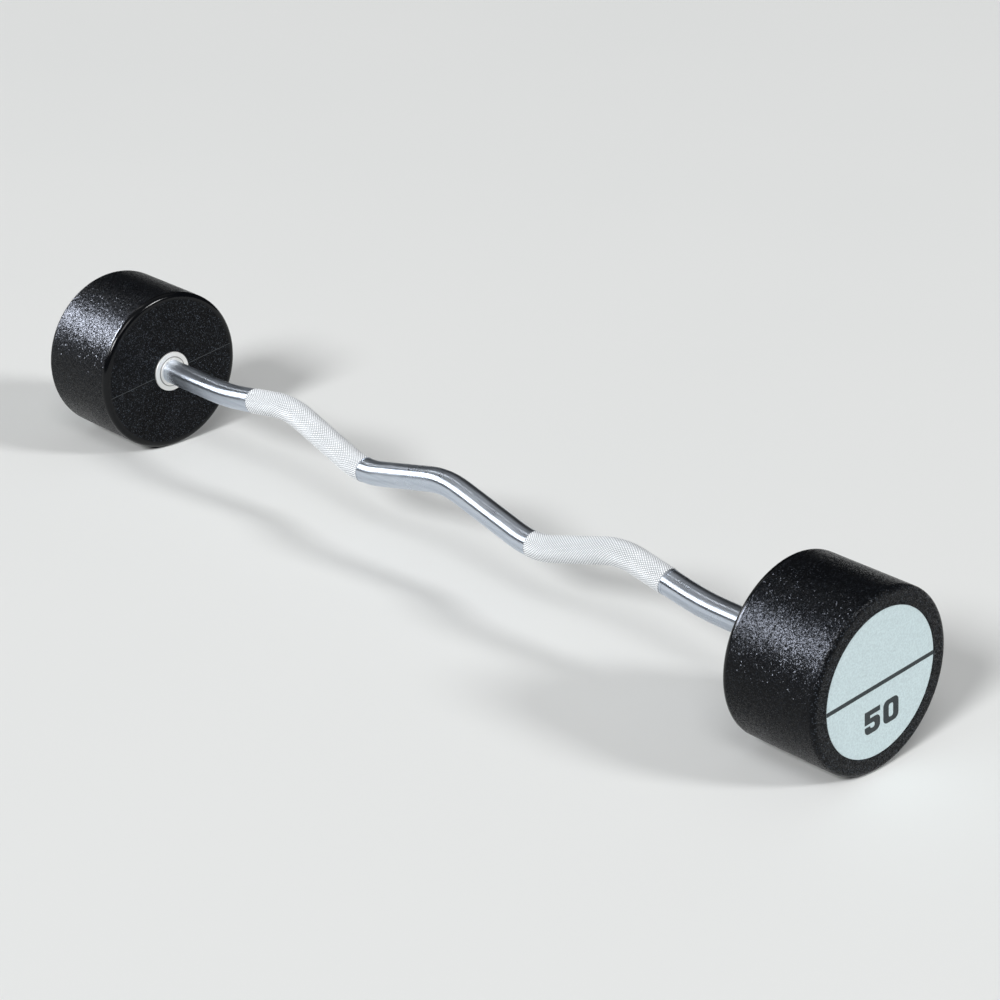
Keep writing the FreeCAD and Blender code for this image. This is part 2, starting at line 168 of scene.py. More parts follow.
def make_moulded_grain():
    """Facets of one size, each tilted its own way."""
    results = {"Normal": "Vector", "Facet": "Float"}
    tree, given, results = new_group("moulded grain", {"Size": 0.001, "Tilt": 1.0}, results)
    frequency = reckon(tree, "DIVIDE", 1.0, given["Size"])
    cells = put(tree, "TexVoronoi", {"Vector": given["Vector"], "Scale": frequency}).outputs["Color"]
    lean = put(tree, "VectorMath", {0: cells, 1: MIDDLE_GREY}, operation="SUBTRACT").outputs["Vector"]
    square = put(tree, "VectorMath", {0: lean, 1: lean}, operation="DOT_PRODUCT").outputs["Value"]
    strength = step(tree, square, 0.0, FURTHEST_COLOUR, LEAST_LEAN, MOST_LEAN)
    weight = reckon(tree, "MULTIPLY", strength, given["Tilt"])
    push = put(tree, "VectorMath", {0: lean, "Scale": weight}, operation="SCALE").outputs["Vector"]
    straight = put(tree, "NewGeometry").outputs["Normal"]
    tilted = put(tree, "VectorMath", {0: straight, 1: push}, operation="ADD").outputs["Vector"]
    normal = put(tree, "VectorMath", {0: tilted}, operation="NORMALIZE").outputs["Vector"]
    tree.links.new(normal, results["Normal"])
    tree.links.new(put(tree, "SeparateXYZ", {"Vector": cells}).outputs["X"], results["Facet"])


make_moulded_grain()
print("group: moulded grain")

# %% [markdown]
# A turned piece keeps fine rings from the lathe. As modelled grooves they would need far too many faces,
# so they are a pattern. On a flat end they follow the distance from the axis, on a round side the place
# along it. The group adds the two and reads a one-dimensional noise with the sum.

# %% Group: lathe rings
def make_lathe_rings():
    """Rings round the X axis, of uneven depth."""
    results = {"Height": "Float", "Radius": "Float"}
    tree, given, results = new_group("lathe rings", {"Pitch": 0.0004}, results)
    parts = put(tree, "SeparateXYZ", {"Vector": given["Vector"]}).outputs
    flat = put(tree, "CombineXYZ", {"Y": parts["Y"], "Z": parts["Z"]}).outputs["Vector"]
    radius = put(tree, "VectorMath", {0: flat}, operation="LENGTH").outputs["Value"]
    along = reckon(tree, "ADD", radius, parts["X"])
    turns = reckon(tree, "DIVIDE", along, given["Pitch"])
    rings = put(tree, "TexNoise", {"W": turns, "Scale": 1.0, "Detail": 1.0}, noise_dimensions="1D")
    tree.links.new(rings.outputs["Fac"], results["Height"])
    tree.links.new(radius, results["Radius"])


make_lathe_rings()
print("group: lathe rings")

# %% [markdown]
# Hands leave broad smudges that dull a hard surface here and there, so no highlight has one even gloss.
# They could be painted on an image, but that would need an unwrapped mesh and would blur close up. A low
# noise has neither trouble. The group gives it at any scale, and each finish uses it at its own.

# %% Group: handling marks
def make_handling_marks():
    """Broad, soft smudges."""
    tree, given, results = new_group("handling marks", {"Scale": 20.0}, {"Smudge": "Float"})
    smudge = put(tree, "TexNoise", {"Vector": given["Vector"], "Scale": given["Scale"], "Detail": 4.0})
    tree.links.new(smudge.outputs["Fac"], results["Smudge"])


make_handling_marks()
print("group: handling marks")

# %% [markdown]
# ## Materials
# Each finish gets its own function. They all start from the Principled shader, read Object coordinates
# and set what is the same all over the surface straight on the shader's sockets.

# %% Material helpers
SMUDGE_FAINT, SMUDGE_FULL = 0.3, 0.7


def new_material(name, **constants):
    """A material with a Principled shader; returns it with its node tree, shader inputs and coordinates."""
    material = bpy.data.materials.new(name)
    material.use_nodes = True
    tree = material.node_tree
    shader = tree.nodes["Principled BSDF"].inputs
    for label, value in constants.items():
        shader[label.replace("_", " ")].default_value = value
    return material, tree, shader, put(tree, "TexCoord").outputs["Object"]


def raise_surface(tree, shader, height, depth):
    """Let a height field of a given depth in metres tilt the surface's normals."""
    bump = put(tree, "Bump", {"Height": height, "Distance": depth})
    tree.links.new(bump.outputs["Normal"], shader["Normal"])


def smudged(tree, place, scale, rough, faint=SMUDGE_FAINT):
    """A roughness that smudges of a given scale take from one value to another."""
    smudge = use_group(tree, "handling marks", Vector=place, Scale=scale)["Smudge"]
    return step(tree, smudge, faint, SMUDGE_FULL, *rough)


print("helpers: new_material, raise_surface, smudged")

# %% [markdown]
# The heads are black urethane. Their sides, outer rims and faces have the moulded grain, but the edge
# towards the bar came from a polished part of the mould: it is smooth and glossy, and shows a dark band
# with one thin bright line. Pale flecks in the grain are dust together with painted glints of the facets,
# and there are fewer of them on the sides than on the two ends. The mesh could be cut up and given a
# material for each, but both effects fade out. So each is a mask, a value from nought to one, made of
# smooth steps on the distance from the axis or along the bar.

# %% Masks on the heads
POLISHED_WIDTH = 0.0075
POLISHED_DEPTH = 0.0065
POLISHED_FADE = 0.0015
DUST_AND_GLINT_START, DUST_AND_GLINT_END = 0.002, 0.006
INNER_DUST_AND_GLINT, SIDE_DUST_AND_GLINT, OUTER_DUST_AND_GLINT = 1.0, 0.3, 0.9

head_low, head_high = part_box("right_head_jacket")
head_radius = head_high.y


def polished_edge(tree, radius, along):
    """A mask of the heads' smooth inner edge."""
    rim, depth = head_radius - POLISHED_WIDTH, head_low.x + POLISHED_DEPTH
    near_rim = step(tree, radius, rim - POLISHED_FADE, rim + POLISHED_FADE)
    near_bar = step(tree, along, depth - POLISHED_FADE, depth + POLISHED_FADE, 1.0, 0.0)
    return reckon(tree, "MULTIPLY", near_rim, near_bar)


def dust_and_glint_on_heads(tree, along):
    """How much dust and painted glint a place along a head gets."""
    inner = step(tree, along, head_low.x + DUST_AND_GLINT_START, head_low.x + DUST_AND_GLINT_END, INNER_DUST_AND_GLINT, SIDE_DUST_AND_GLINT)
    outer = step(tree, along, head_high.x - DUST_AND_GLINT_END, head_high.x - DUST_AND_GLINT_START, 0.0, OUTER_DUST_AND_GLINT)
    return reckon(tree, "MAXIMUM", inner, outer)


print(f"heads from x {head_low.x:.3f} to {head_high.x:.3f}, radius {head_radius:.3f}")

# %% [markdown]
# In the finish itself, the first mask takes the tilt of the facets away, smooths the edge and lays a thin
# clear coat over it. The second one sets how pale the flecks of dust and painted glint are. Only facets
# with a high random number get any, so they show as flecks and not as a grey veil.

# %% Material: urethane
FACET_SIZE = 0.0009
FACET_TILT = 0.50
POLISHED_COAT = 0.3
POLISHED_SMOOTHING = 0.14
DUST_AND_GLINT_FACETS = (0.86, 0.98)


def make_urethane():
    """Black moulded urethane with a pebbled skin and a polished inner edge."""
    gloss = {"Specular_IOR_Level": 0.10, "Coat_Roughness": 0.16}
    material, tree, shader, place = new_material("moulded_urethane", **gloss)
    parts = put(tree, "SeparateXYZ", {"Vector": place}).outputs
    flat = put(tree, "CombineXYZ", {"Y": parts["Y"], "Z": parts["Z"]}).outputs["Vector"]
    radius = put(tree, "VectorMath", {0: flat}, operation="LENGTH").outputs["Value"]
    along = reckon(tree, "ABSOLUTE", parts["X"])
    polished = polished_edge(tree, radius, along)
    tilt = reckon(tree, "MULTIPLY", reckon(tree, "SUBTRACT", 1.0, polished), FACET_TILT)
    grain = use_group(tree, "moulded grain", Vector=place, Size=FACET_SIZE, Tilt=tilt)
    # Pale flecks of dust and painted glint on a few facets, fewer on the sides
    dust_and_glint = step(tree, grain["Facet"], *DUST_AND_GLINT_FACETS)
    speck = reckon(tree, "MULTIPLY", dust_and_glint, dust_and_glint_on_heads(tree, along))
    fleck = reckon(tree, "SUBTRACT", speck, polished)
    rough = smudged(tree, place, scale=14.0, rough=(0.25, 0.31))
    smooth = reckon(tree, "MULTIPLY", polished, POLISHED_SMOOTHING)
    tree.links.new(shade(tree, fleck, (0.0018, 0.0022, 0.003), (0.055, 0.065, 0.080)), shader["Base Color"])
    tree.links.new(reckon(tree, "SUBTRACT", rough, smooth), shader["Roughness"])
    tree.links.new(reckon(tree, "MULTIPLY", polished, POLISHED_COAT), shader["Coat Weight"])
    tree.links.new(grain["Normal"], shader["Normal"])
    return material


urethane = make_urethane()
print(f"material: {urethane.name}, facets of {FACET_SIZE * 1000:.1f} mm")

# %% [markdown]
# ## The bar's line
# The bar's finish and its grips both follow its bends. Its centre line is straight runs that meet in
# bends, so four corners and two radii give the whole half of it; the other half is the mirror image. A
# bend touches its two runs at equal distances from the corner, and its centre lies on the line that
# halves the angle between them.

# %% Line of the bar
BEND_RADIUS = 0.105
OUTER_BEND_RADIUS = 0.320
CENTRE_PEAK = Vector((0, 0, 0.013))
VALLEY = Vector((0.138, 0, -0.0205))
OUTER_PEAK = Vector((0.2645, 0, 0.0196))
OUTER_BEND = Vector((0.3795, 0, 0))
BAR_END = Vector((0.5, 0, 0))


def bend_at(before, corner, after, radius):
    """Where a bend starts and ends, its centre, and how far it turns upwards."""
    run_in = (corner - before).normalized()
    run_out = (after - corner).normalized()
    turn = run_in.angle(run_out)
    reach = radius * math.tan(turn / 2)
    inward = (run_out - run_in).normalized()
    centre = corner + inward * (radius / math.cos(turn / 2))
    return corner - run_in * reach, corner + run_out * reach, centre, math.copysign(turn, inward.z)


left_valley = Vector((-VALLEY.x, 0, VALLEY.z))
centre_bend = bend_at(left_valley, CENTRE_PEAK, VALLEY, BEND_RADIUS)
valley_bend = bend_at(CENTRE_PEAK, VALLEY, OUTER_PEAK, BEND_RADIUS)
peak_bend = bend_at(VALLEY, OUTER_PEAK, OUTER_BEND, BEND_RADIUS)
outer_bend = bend_at(OUTER_PEAK, OUTER_BEND, BAR_END, OUTER_BEND_RADIUS)
BENDS = (centre_bend, valley_bend, peak_bend, outer_bend)
print("turns in degrees:", [round(math.degrees(bend[3]), 1) for bend in BENDS])

# %% [markdown]
# The bar is ground steel under chrome. Chrome has no colour of its own and shows the studio, so most of
# its look comes from the lights and the floor. What belongs to the metal is the grinding: the wheel ran
# round the bar and left grooves that smear each reflection along it. A rougher shader would smear it both
# ways and lose the crisp bands, so the shader is made anisotropic, which needs the bar's own direction as
# its tangent. The slope of the line changes only in its bends, so it is a sum of four ramps along X. A
# noise stretched along the bar adds the faint streaks between the bands.

# %% Material: bar chrome
STREAK_DEPTH = 0.00001
STREAK_STRETCH = (9, 420, 420)
CHROME_FAINT = 0.35


def bar_direction(tree, place):
    """The bar's direction at a place on it, as a vector."""
    across = put(tree, "SeparateXYZ", {"Vector": place}).outputs["X"]
    from_middle = reckon(tree, "ABSOLUTE", across)
    slope = 0.0
    for start, end, _, turn in BENDS:
        # The middle bend is shared by both halves, so half of it lies on either side
        first, share = (start.x, 1.0) if start.x > 0 else (0.0, 0.5)
        ramp = {"Value": from_middle, "From Min": first, "From Max": end.x, "To Max": share * turn}
        slope = reckon(tree, "ADD", put(tree, "MapRange", ramp).outputs["Result"], slope)
    climb = reckon(tree, "MULTIPLY", reckon(tree, "SINE", slope), reckon(tree, "SIGN", across))
    return put(tree, "CombineXYZ", {"X": reckon(tree, "COSINE", slope), "Z": climb}).outputs["Vector"]


def make_bar_chrome():
    """Chromed steel, ground round the bar before plating."""
    material, tree, shader, place = new_material("bar_chrome_finish", Metallic=1.0, Anisotropic=0.9)
    tree.links.new(bar_direction(tree, place), shader["Tangent"])
    stretched = put(tree, "Mapping", {"Vector": place, "Scale": STREAK_STRETCH}).outputs["Vector"]
    streaks = put(tree, "TexNoise", {"Vector": stretched, "Scale": 1.0, "Detail": 3.0}).outputs["Fac"]
    raise_surface(tree, shader, streaks, STREAK_DEPTH)
    tree.links.new(shade(tree, streaks, (0.47, 0.53, 0.62), (0.71, 0.76, 0.83)), shader["Base Color"])
    rough = smudged(tree, place, scale=30.0, rough=(0.27, 0.33), faint=CHROME_FAINT)
    tree.links.new(rough, shader["Roughness"])
    return material


bar_chrome = make_bar_chrome()
print(f"material: {bar_chrome.name}")

# %% [markdown]
# The grips have the same plating, but rolling the knurl has left its faces dull. Grease and dust sit in
# its grooves, and the grooves are coloured darker as painted shade as well. The knurl's mesh will carry an
# attribute, peak, that is one on the peaks and nought in the grooves, so the shader can darken the grooves
# wherever the pattern goes.

# %% Material: grip chrome
def make_grip_chrome():
    """Chromed steel with a rolled, dull surface, and grease and painted shade in its grooves."""
    material, tree, shader, place = new_material("grip_chrome_finish", Metallic=1.0)
    peak = put(tree, "Attribute", attribute_name="peak").outputs["Fac"]
    # Dark grooves: grease together with painted shade
    tree.links.new(shade(tree, peak, (0.41, 0.43, 0.455), (0.97, 0.98, 0.985)), shader["Base Color"])
    rough = smudged(tree, place, scale=40.0, rough=(0.80, 0.68), faint=CHROME_FAINT)
    tree.links.new(rough, shader["Roughness"])
    return material


grip_chrome = make_grip_chrome()
print(f"material: {grip_chrome.name}")

# %% [markdown]
# The collars, cores and fasteners are turned steel. One function makes all three: the lathe rings tilt
# the surface a little and vary its colour, and the colours and the ring pitch set the pieces apart. The
# corner where a collar's flange steps up to its lip lies in shade, so a dark ring of painted shade at a
# given radius goes on top.

# %% Material: turned steel
RING_DEPTH = 0.000012
CORNER_RADIUS = 0.0179
CORNER_WIDTH = 0.0010
CORNER_SHADE = 0.25


def make_turned_steel(name, dark, light, pitch, rough):
    """Steel from the lathe, with rings of a given pitch and a ring of painted shade in a corner."""
    material, tree, shader, place = new_material(name, Metallic=1.0)
    rings = use_group(tree, "lathe rings", Vector=place, Pitch=pitch)
    raise_surface(tree, shader, rings["Height"], RING_DEPTH)
    # A ring of painted shade darkens the colour at the corner's radius
    off_corner = reckon(tree, "ABSOLUTE", reckon(tree, "SUBTRACT", rings["Radius"], CORNER_RADIUS))
    painted_shade_factor = step(tree, off_corner, 0.0, CORNER_WIDTH, CORNER_SHADE, 1.0)
    steel = shade(tree, rings["Height"], dark, light)
    steel_with_painted_shade = put(tree, "VectorMath", {0: steel, "Scale": painted_shade_factor}, operation="SCALE").outputs["Vector"]
    tree.links.new(steel_with_painted_shade, shader["Base Color"])
    tree.links.new(smudged(tree, place, 60.0, rough), shader["Roughness"])
    return material


collar_steel = make_turned_steel(
    "collar_steel_finish", dark=(0.90, 0.90, 0.89), light=(0.98, 0.98, 0.97),
    pitch=0.0004, rough=(0.46, 0.60))
core_steel = make_turned_steel(
    "core_steel_finish", dark=(0.20, 0.20, 0.21), light=(0.34, 0.34, 0.35),
    pitch=0.0009, rough=(0.40, 0.60))
fastener_steel = make_turned_steel(
    "fastener_steel_finish", dark=(0.55, 0.56, 0.58), light=(0.70, 0.71, 0.72),
    pitch=0.0005, rough=(0.30, 0.45))
print(f"materials: {collar_steel.name}, {core_steel.name}, {fastener_steel.name}")

# %% [markdown]
# The labels are a pale blue-grey sheet with a satin face. A fine mottle keeps the colour from looking
# like paint out of a tin. The ink is a dark slate grey, a little rougher than the sheet. The mould seams
# are paler than the urethane, as scuffed flash and as a painted highlight of the ridge. They, and the
# cover and the adhesive pad behind the label, share the same simple recipe.

# %% Material: sheet, ink, seam, cover and pad
MOTTLE_SHARE = 0.8
MOTTLE_RANGE = (0.3, 0.7)


def make_mottled(name, dark, light, grain_size, grain_tilt, rough):
    """A dull sheet or moulding with a fine mottle and a fine grain."""
    material, tree, shader, place = new_material(name)
    grain = use_group(tree, "moulded grain", Vector=place, Size=grain_size, Tilt=grain_tilt)
    mottle = {"Vector": place, "Scale": MOTTLE_SHARE / grain_size, "Detail": 3.0}
    fleck = step(tree, put(tree, "TexNoise", mottle).outputs["Fac"], *MOTTLE_RANGE)
    tree.links.new(shade(tree, fleck, dark, light), shader["Base Color"])
    tree.links.new(smudged(tree, place, 25.0, rough), shader["Roughness"])
    tree.links.new(grain["Normal"], shader["Normal"])
    return material


label_sheet = make_mottled(
    "label_sheet", dark=(0.47, 0.57, 0.595), light=(0.56, 0.675, 0.70),
    grain_size=0.0016, grain_tilt=0.12, rough=(0.38, 0.50))
label_ink = make_mottled(
    "label_ink", dark=(0.010, 0.017, 0.020), light=(0.022, 0.031, 0.035),
    grain_size=0.0016, grain_tilt=0.12, rough=(0.55, 0.68))
# The seam's pale colour is partly scuffing, partly a painted highlight along the ridge
seam_finish = make_mottled(
    "mould_seam_finish", dark=(0.016, 0.020, 0.023), light=(0.034, 0.039, 0.043),
    grain_size=0.0016, grain_tilt=0.5, rough=(0.45, 0.60))
cover_plastic = make_mottled(
    "cover_plastic_finish", dark=(0.02, 0.02, 0.02), light=(0.04, 0.04, 0.04),
    grain_size=0.001, grain_tilt=1.5, rough=(0.4, 0.6))
adhesive_foam = make_mottled(
    "adhesive_foam_finish", dark=(0.55, 0.54, 0.50), light=(0.72, 0.71, 0.66),
    grain_size=0.0015, grain_tilt=3.0, rough=(0.8, 0.95))
for material in (label_sheet, label_ink, seam_finish, cover_plastic, adhesive_foam):
    print(f"material: {material.name}")

# %% [markdown]
# ## Finishes on the construction pieces
# The pieces of the frame stay as they are. Only what is in their material slots changes, chosen by the
# part of the name after the side.

# %% Dress the frame
FINISHES = {
    "curl_bar": bar_chrome,
    "inner_collar": collar_steel,
    "head_core": core_steel,
    "head_jacket": urethane,
    "drive_key": fastener_steel,
    "clamp_washer": fastener_steel,
    "lock_washer": fastener_steel,
    "end_bolt": fastener_steel,
    "bolt_cover": cover_plastic,
    "label_pad": adhesive_foam,
    "label_disc": label_sheet,
}

for name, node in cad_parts.items():
    finish = FINISHES[name.removeprefix("left_").removeprefix("right_")]
    for slot in node.material_slots:
        slot.material = finish
print(f"dressed {len(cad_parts)} pieces with {len(set(FINISHES.values()))} finishes")

# %% [markdown]
# ## New pieces
# A new piece is built as a bmesh, turned into an object once and then rides on the barbell's one body,
# which the frame calls root.

# %% Piece helper
def add_piece(name, bm, material):
    """Turn a finished bmesh into a piece of the barbell."""
    mesh = bpy.data.meshes.new(name)
    bm.to_mesh(mesh)
    bm.free()
    mesh.materials.append(material)
    piece = bpy.data.objects.new(name, mesh)
    bpy.context.scene.collection.objects.link(piece)
    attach(piece, "root")
    print(f"{name}: {len(mesh.polygons)} faces")


print("helper: add_piece")

# %% [markdown]
# ## Knurled grips
# Knurling wheels press two crossing sets of grooves into the bar, and leave rows of small four-sided
# pyramids. A bump map could only pretend that: the outline would stay smooth and an exported model would
# lose it, so the pyramids are modelled. A ring is swept along the bar with spin, a bend as a real spin
# and a straight run as a spin by no angle that moves on at each step. That gives a net of small quads.
# Coloured like a chessboard, one colour is moved outwards to become the peaks. Joining the other corners
# of each quad cuts the grooves, and a small bevel blunts each peak, as rolling and plating do.

# %% Sweep a ring along the grip
GRIP_END_X = 0.330
BEND_AXIS = Vector((0, 1, 0))
NO_TRAVEL = Vector()

_, valley_end, valley_centre, _ = valley_bend
peak_start, peak_end, peak_centre, peak_turn = peak_bend
climb = (OUTER_PEAK - VALLEY).angle(Vector((1, 0, 0)))
grip_start = valley_centre - Vector((0, 0, BEND_RADIUS))
end_share = (GRIP_END_X - OUTER_PEAK.x) / (OUTER_BEND.x - OUTER_PEAK.x)
grip_end = OUTER_PEAK.lerp(OUTER_BEND, end_share)

# A leg is the centre and angle of a bend, or a straight run's travel
GRIP_LEGS = [
    (valley_centre, -climb, NO_TRAVEL),
    (valley_end, 0, peak_start - valley_end),
    (peak_centre, -peak_turn, NO_TRAVEL),
    (peak_end, 0, grip_end - peak_end),
]


def sweep_grip(bm, radius, sides, stride):
    """Sweep a ring along the grip in strides of about one length."""
    across_bar = Matrix.Translation(grip_start) @ Matrix.Rotation(math.pi / 2, 4, "Y")
    ring = bmesh.ops.create_circle(bm, segments=sides, radius=radius, matrix=across_bar)["verts"]
    ring += list(dict.fromkeys(edge for vert in ring for edge in vert.link_edges))
    for centre, angle, travel in GRIP_LEGS:
        length = travel.length or BEND_RADIUS * abs(angle)
        count = round(length / stride)
        swept = bmesh.ops.spin(
            bm, geom=ring, cent=centre, axis=BEND_AXIS, angle=angle, dvec=travel / count, steps=count)
        ring = swept["geom_last"]


print(f"grip from x {grip_start.x:.4f} to {grip_end.x:.4f}, climbs {math.degrees(climb):.1f} degrees")

# %% [markdown]
# The net closes on itself round the bar with an even number of quads, so a walk along its edges can
# colour it in two colours without a clash. The rings at the two ends stay down, so that the knurl runs
# out cleanly. An inner tube and two end rings make each grip a closed sleeve that sits on the bar's
# raised band.

# %% Colour the net
def chessboard(bm):
    """Every second vertex of a net, so that no edge joins two of them."""
    first = next(iter(bm.verts))
    dark = {first: False}
    waiting = [first]
    while waiting:
        vert = waiting.pop()
        for edge in vert.link_edges:
            other = edge.other_vert(vert)
            if other not in dark:
                dark[other] = not dark[vert]
                waiting.append(other)
    return [vert for vert, is_dark in dark.items() if is_dark]


print("helper: chessboard")

# %% Build the grips
DIAMONDS_AROUND = 34
DIAMOND_LENGTH = 0.0038
KNURL_DEPTH = 0.0007
PEAK_FLAT = 0.0005
SLEEVE_LIFT = 0.00003
SLEEVE_STRIDE = 0.006

grip_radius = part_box("curl_bar")[1].y


def make_grip(name, mirrored):
    """A knurled sleeve over one grip of the bar."""
    bm = bmesh.new()
    peak = bm.verts.layers.float.new("peak")
    sweep_grip(bm, grip_radius + SLEEVE_LIFT, 2 * DIAMONDS_AROUND, DIAMOND_LENGTH / 2)
    bmesh.ops.recalc_face_normals(bm, faces=bm.faces[:])
    bm.normal_update()
    raised = dict.fromkeys(chessboard(bm))
    peaks = [vert for vert in raised if not vert.is_boundary]
    for vert in peaks:
        vert.co += vert.normal * KNURL_DEPTH
    bmesh.ops.connect_verts(bm, verts=[vert for vert in bm.verts if vert not in raised])
    blunted = bmesh.ops.bevel(
        bm, geom=peaks, offset=PEAK_FLAT, offset_type="OFFSET", segments=1, profile=0.5,
        affect="VERTICES", material=-1)
    for vert in blunted["verts"]:
        vert[peak] = 1.0
    sweep_grip(bm, grip_radius, 2 * DIAMONDS_AROUND, SLEEVE_STRIDE)
    rims = [edge for edge in bm.edges if edge.is_boundary]
    for end, other_end in ((grip_start, grip_end), (grip_end, grip_start)):
        near = [e for e in rims if (e.verts[0].co - end).length < (e.verts[0].co - other_end).length]
        bmesh.ops.bridge_loops(bm, edges=near)
    if mirrored:
        bmesh.ops.scale(bm, verts=bm.verts[:], vec=(-1, 1, 1))
    bmesh.ops.recalc_face_normals(bm, faces=bm.faces[:])
    add_piece(name, bm, grip_chrome)


make_grip("left_grip_knurl", mirrored=True)
make_grip("right_grip_knurl", mirrored=False)

# %% [markdown]
# ## Printing on the labels
# The outer face of each head carries a pale disc with a dark line across its middle and the weight below
# it. The space above the line is left bare. The line is a disc cut by two planes, so its ends follow the
# label's round edge. The digits are plain block figures, drawn with as few corners as they need and
# rounded by a bevel. All of it is drawn flat, with X to the right, Y up and Z out of the label, and moved
# into place once.

# %% The dividing line
LABEL_MARGIN = 0.0004
LINE_WIDTH = 0.0046
LINE_DROP = 0.001
LABEL_SIDES = 192

label_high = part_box("right_label_disc")[1]
label_radius = label_high.y


def draw_line(bm):
    """A strip across a disc, between two planes."""
    bmesh.ops.create_circle(bm, cap_ends=True, segments=LABEL_SIDES, radius=label_radius - LABEL_MARGIN)
    for up in (-1, 1):
        edge = (0, up * LINE_WIDTH / 2 - LINE_DROP, 0)
        whole = bm.verts[:] + bm.edges[:] + bm.faces[:]
        bmesh.ops.bisect_plane(bm, geom=whole, plane_co=edge, plane_no=(0, up, 0), clear_outer=True)


print(f"line {LINE_WIDTH * 1000:.1f} mm wide on a label of radius {label_radius:.4f}")

# %% [markdown]
# A font could give the digits too, but with its own shapes and many more points than such plain figures
# need. A five is one outline with fourteen corners. A nought is a ring between two rounded rectangles,
# made by bridging the outer loop to the inner one.

# %% Outlines with round corners
DIGIT_WIDTH = 0.0222
DIGIT_HEIGHT = 0.0256
ROUND_STEPS = 5
DIGITS_MIDDLE = Vector((0.0014, -0.0362, 0))


def round_corners(bm, verts, radius):
    """Round the corners of a flat outline."""
    bmesh.ops.bevel(
        bm, geom=verts, offset=radius, offset_type="OFFSET", segments=ROUND_STEPS, profile=0.5,
        affect="VERTICES", material=-1)


def draw_outline(bm, corners, left):
    """A closed loop of edges through corners, moved to start at a left side below the line."""
    shift = Vector((left, DIGITS_MIDDLE.y - DIGIT_HEIGHT / 2, 0))
    verts = [bm.verts.new(Vector((x, y, 0)) + shift) for x, y in corners]
    for first, second in zip(verts, verts[1:] + verts[:1]):
        bm.edges.new((first, second))
    return verts


print(f"digits {DIGIT_HEIGHT * 1000:.1f} mm tall")

# %% Five and nought
STEM = 0.0079
CROSSBAR = 0.0056
OUTER_ROUND = 0.0062
INNER_ROUND = 0.0024
WAIST_SHARE = 0.66
HOOK_SHARE = 0.34


def draw_five(bm, left):
    """A block five, from its lower left corner round to the tip of its hook."""
    width, height = DIGIT_WIDTH, DIGIT_HEIGHT
    waist, hook = WAIST_SHARE * height, HOOK_SHARE * height
    corners = [
        (0, 0), (width, 0), (width, waist), (STEM, waist),
        (STEM, height - CROSSBAR), (width, height - CROSSBAR), (width, height), (0, height),
        (0, waist - CROSSBAR), (width - STEM, waist - CROSSBAR), (width - STEM, CROSSBAR), (STEM, CROSSBAR),
        (STEM, hook), (0, hook),
    ]
    verts = draw_outline(bm, corners, left)
    bowl_outside, bowl_inside = verts[:3], verts[9:12]
    bm.faces.new(verts)
    round_corners(bm, bowl_outside, OUTER_ROUND)
    round_corners(bm, bowl_inside, INNER_ROUND)


def draw_nought(bm, left):
    """A block nought."""
    loops = []
    for inset_x, inset_y, radius in ((0, 0, OUTER_ROUND), (STEM, CROSSBAR, INNER_ROUND)):
        low, high = (inset_x, inset_y), (DIGIT_WIDTH - inset_x, DIGIT_HEIGHT - inset_y)
        before = set(bm.edges)
        verts = draw_outline(bm, [low, (high[0], low[1]), high, (low[0], high[1])], left)
        round_corners(bm, verts, radius)
        loops += [edge for edge in bm.edges if edge not in before]
    bmesh.ops.bridge_loops(bm, edges=loops)


print(f"strokes {STEM * 1000:.1f} mm wide upright and {CROSSBAR * 1000:.1f} mm across")

# %% [markdown]
# The print leans by a few degrees, as the head was bolted on. The matrix below stands the drawing up on
# the right head's face; half a turn about Z carries it to the left head's.

# %% Print both labels
PRINT_LEAN = math.radians(4.8)
DIGIT_GAP = 0.0046
INK_THICKNESS = 0.00006
INK_SINK = 0.00001

stand_up = Matrix(((0, 0, 1, 0), (1, 0, 0, 0), (0, 1, 0, 0), (0, 0, 0, 1)))


def make_print(name, half_turns):
    """The ink on one label, as one thin piece."""
    bm = bmesh.new()
    draw_line(bm)
    left = DIGITS_MIDDLE.x - DIGIT_WIDTH - DIGIT_GAP / 2
    draw_five(bm, left)
    draw_nought(bm, left + DIGIT_WIDTH + DIGIT_GAP)
    bmesh.ops.recalc_face_normals(bm, faces=bm.faces[:])
    raised = bmesh.ops.extrude_face_region(bm, geom=bm.faces[:])["geom"]
    lifted = [item for item in raised if isinstance(item, bmesh.types.BMVert)]
    bmesh.ops.translate(bm, verts=lifted, vec=(0, 0, INK_THICKNESS + INK_SINK))
    bmesh.ops.recalc_face_normals(bm, faces=bm.faces[:])
    lean = Matrix.Rotation(PRINT_LEAN, 4, "Z")
    onto_face = Matrix.Translation((label_high.x - INK_SINK, 0, 0)) @ stand_up @ lean
    to_head = Matrix.Rotation(half_turns * math.pi, 4, "Z")
    bmesh.ops.transform(bm, verts=bm.verts[:], matrix=to_head @ onto_face)
    add_piece(name, bm, label_ink)


make_print("left_label_print", half_turns=1)
make_print("right_label_print", half_turns=0)

# %% [markdown]
# ## Mould seams
# The mould for a head is split across its inner face, and a hairline ridge of urethane shows where its
# halves met, on both sides of the collar. A line drawn by the material would stay flat. A thin block with
# its upper edges bevelled, laid into the face, catches the light as the ridge does.

# %% Seams on the inner faces
SEAM_WIDTH = 0.0008
SEAM_HEIGHT = 0.0003
SEAM_LEAN = math.radians(8)
COLLAR_CLEARANCE = 0.0006
RIM_CLEARANCE = 0.007

collar_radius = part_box("right_inner_collar")[1].y
seam_inner = collar_radius + COLLAR_CLEARANCE
seam_outer = head_radius - RIM_CLEARANCE


